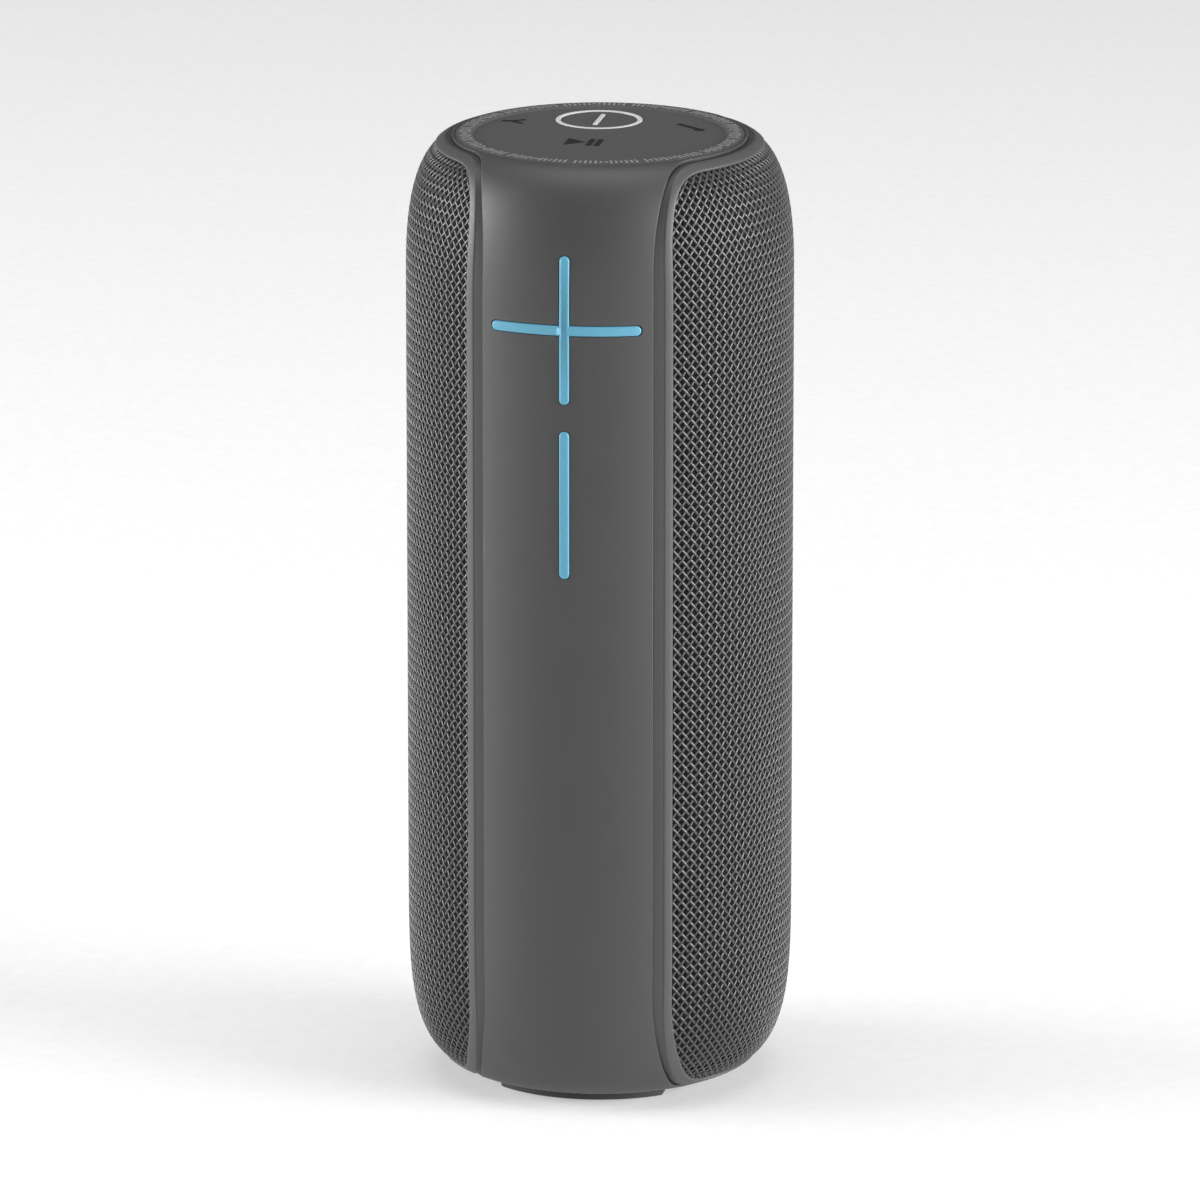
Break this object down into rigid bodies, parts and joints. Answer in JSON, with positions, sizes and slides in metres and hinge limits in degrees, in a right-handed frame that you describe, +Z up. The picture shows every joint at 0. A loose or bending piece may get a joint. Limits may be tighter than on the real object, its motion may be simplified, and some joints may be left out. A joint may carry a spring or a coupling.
{
  "type": "portable bluetooth speaker",
  "caption": "Upright cylindrical portable speaker with woven side grilles, a plain front spine with cross and bar volume keys, a key deck on top and a covered socket bay at the back.",
  "frame": {"origin": "centre of the body's outline on the floor, under the feet", "axes": "+Z up along the body's axis, the front spine with the volume keys faces -Y, +X to the right seen from the front"},
  "size_m": [0.0728, 0.0738, 0.1805],
  "materials": {
    "soft_shell": "soft-touch matte grey",
    "deck": "soft-touch matte grey",
    "frame": "satin grey",
    "grille": "woven wire, grey coat",
    "cloth": "black acoustic cloth",
    "light_ring": "milky white light guide",
    "icon": "dark matte",
    "volume_mark": "matte blue",
    "rubber": "matte black",
    "inner_plastic": "black moulded",
    "board": "green solder mask",
    "steel": "plated",
    "radiator": "pressed plate",
    "copper": "enamelled copper wire",
    "paper": "black pressed paper",
    "cell": "blue shrink wrap"
  },
  "bodies": {
    "housing": {"aux_socket": "steel", "base_cap": "soft_shell", "base_chassis": "inner_plastic", "battery_cell_front": "cell", "battery_cell_rear": "cell", "battery_holder": "inner_plastic", "board_screw_1": "steel", "board_screw_2": "steel", "board_screw_3": "steel", "button_board": "board", "cabinet_front": "inner_plastic", "cabinet_rear": "inner_plastic", "card_socket": "steel", "driver_basket_left": "steel", "driver_basket_right": "steel", "driver_magnet_left": "steel", "driver_magnet_right": "steel", "driver_surround_left": "rubber", "driver_surround_right": "rubber", "front_foot": "rubber", "front_shell": "soft_shell", "grille_cloth_left": "cloth", "grille_cloth_right": "cloth", "grille_frame_left": "frame", "grille_frame_right": "frame", "grille_mesh_left": "grille", "grille_mesh_right": "grille", "main_board": "board", "port_bezel": "inner_plastic", "power_light_ring": "light_ring", "radiator_surround_left": "rubber", "radiator_surround_right": "rubber", "rear_foot": "rubber", "rear_shell": "soft_shell", "shell_screw_1": "steel", "shell_screw_2": "steel", "shell_screw_3": "steel", "shell_screw_4": "steel", "speaker_lead": "rubber", "top_chassis": "inner_plastic", "top_deck": "deck", "usb_socket": "steel", "volume_board": "board", "wireless_module": "steel"},
    "power_button": {"power_key": "deck"},
    "play_button": {"play_pause_key": "icon"},
    "pairing_button": {"pairing_key": "icon"},
    "call_button": {"call_key": "icon"},
    "volume_up_button": {"volume_up_key": "volume_mark"},
    "volume_down_button": {"volume_down_key": "volume_mark"},
    "socket_cover": {"port_cover": "rubber"},
    "driver_moving_right": {"driver_cone_right": "paper", "driver_dust_cap_right": "paper", "voice_coil_right": "copper"},
    "driver_moving_left": {"driver_cone_left": "paper", "driver_dust_cap_left": "paper", "voice_coil_left": "copper"},
    "radiator_moving_right": {"radiator_plate_right": "radiator"},
    "radiator_moving_left": {"radiator_plate_left": "radiator"}
  },
  "joints": [
    {"name": "power_press", "type": "slide", "parent": "housing", "child": "power_button", "axis": [0, 0, -1], "range_m": [0, 0.0004], "stiffness_N_per_m": 900, "springref_m": -0.0004},
    {"name": "play_press", "type": "slide", "parent": "housing", "child": "play_button", "axis": [0, 0, -1], "range_m": [0, 0.0004], "stiffness_N_per_m": 900, "springref_m": -0.0004},
    {"name": "pairing_press", "type": "slide", "parent": "housing", "child": "pairing_button", "axis": [0, 0, -1], "range_m": [0, 0.0004], "stiffness_N_per_m": 900, "springref_m": -0.0004},
    {"name": "call_press", "type": "slide", "parent": "housing", "child": "call_button", "axis": [0, 0, -1], "range_m": [0, 0.0004], "stiffness_N_per_m": 900, "springref_m": -0.0004},
    {"name": "volume_up_press", "type": "slide", "parent": "housing", "child": "volume_up_button", "axis": [0, 1, 0], "range_m": [0, 0.00035], "stiffness_N_per_m": 900, "springref_m": -0.0004},
    {"name": "volume_down_press", "type": "slide", "parent": "housing", "child": "volume_down_button", "axis": [0, 1, 0], "range_m": [0, 0.00035], "stiffness_N_per_m": 900, "springref_m": -0.0004},
    {"name": "cover_swing", "type": "hinge", "parent": "housing", "child": "socket_cover", "pos_m": [0, 0.0361, 0.0196], "axis": [-1, 0, 0], "range_deg": [0, 110]},
    {"name": "driver_right_throw", "type": "slide", "parent": "housing", "child": "driver_moving_right", "axis": [1, 0, 0], "range_m": [-0.0015, 0.0015], "stiffness_N_per_m": 1100},
    {"name": "radiator_right_throw", "type": "slide", "parent": "housing", "child": "radiator_moving_right", "axis": [1, 0, 0], "range_m": [-0.002, 0.002], "stiffness_N_per_m": 700},
    {"name": "driver_left_throw", "type": "slide", "parent": "housing", "child": "driver_moving_left", "axis": [-1, 0, 0], "range_m": [-0.0015, 0.0015], "stiffness_N_per_m": 1100},
    {"name": "radiator_left_throw", "type": "slide", "parent": "housing", "child": "radiator_moving_left", "axis": [-1, 0, 0], "range_m": [-0.002, 0.002], "stiffness_N_per_m": 700}
  ]
}
